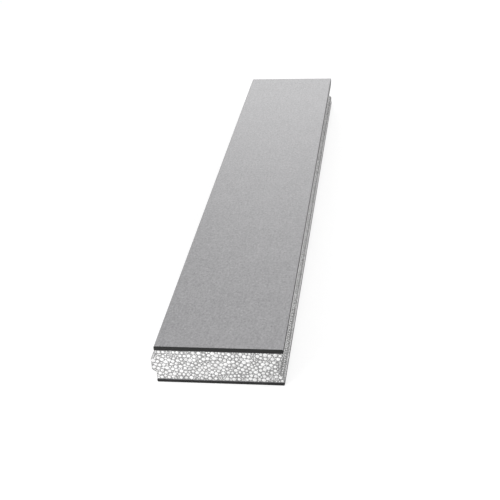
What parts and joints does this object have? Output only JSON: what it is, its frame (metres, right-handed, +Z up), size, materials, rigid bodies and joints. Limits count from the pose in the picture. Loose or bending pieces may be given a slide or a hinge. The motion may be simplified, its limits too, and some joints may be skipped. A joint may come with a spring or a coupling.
{
  "type": "insulated sandwich panel",
  "caption": "Flat insulated wall or roof panel: bead-concrete core between two thin fibre-cement boards, with a moulded tongue down one long edge and a matching groove down the other.",
  "frame": {"origin": "middle of the lower board's outer face, on which the panel lies", "axes": "+X across the panel from the tongue side to the groove side, +Y along its length, +Z up through its thickness"},
  "size_m": [0.621, 3.6, 0.2],
  "materials": {
    "top_board": "matt smooth fibre cement with charcoal cut edges",
    "core": "light grey cement full of white polystyrene beads",
    "bottom_board": "matt smooth fibre cement with charcoal cut edges"
  },
  "bodies": {
    "root": {"top_board": "top_board", "core": "core", "bottom_board": "bottom_board"}
  },
  "joints": []
}
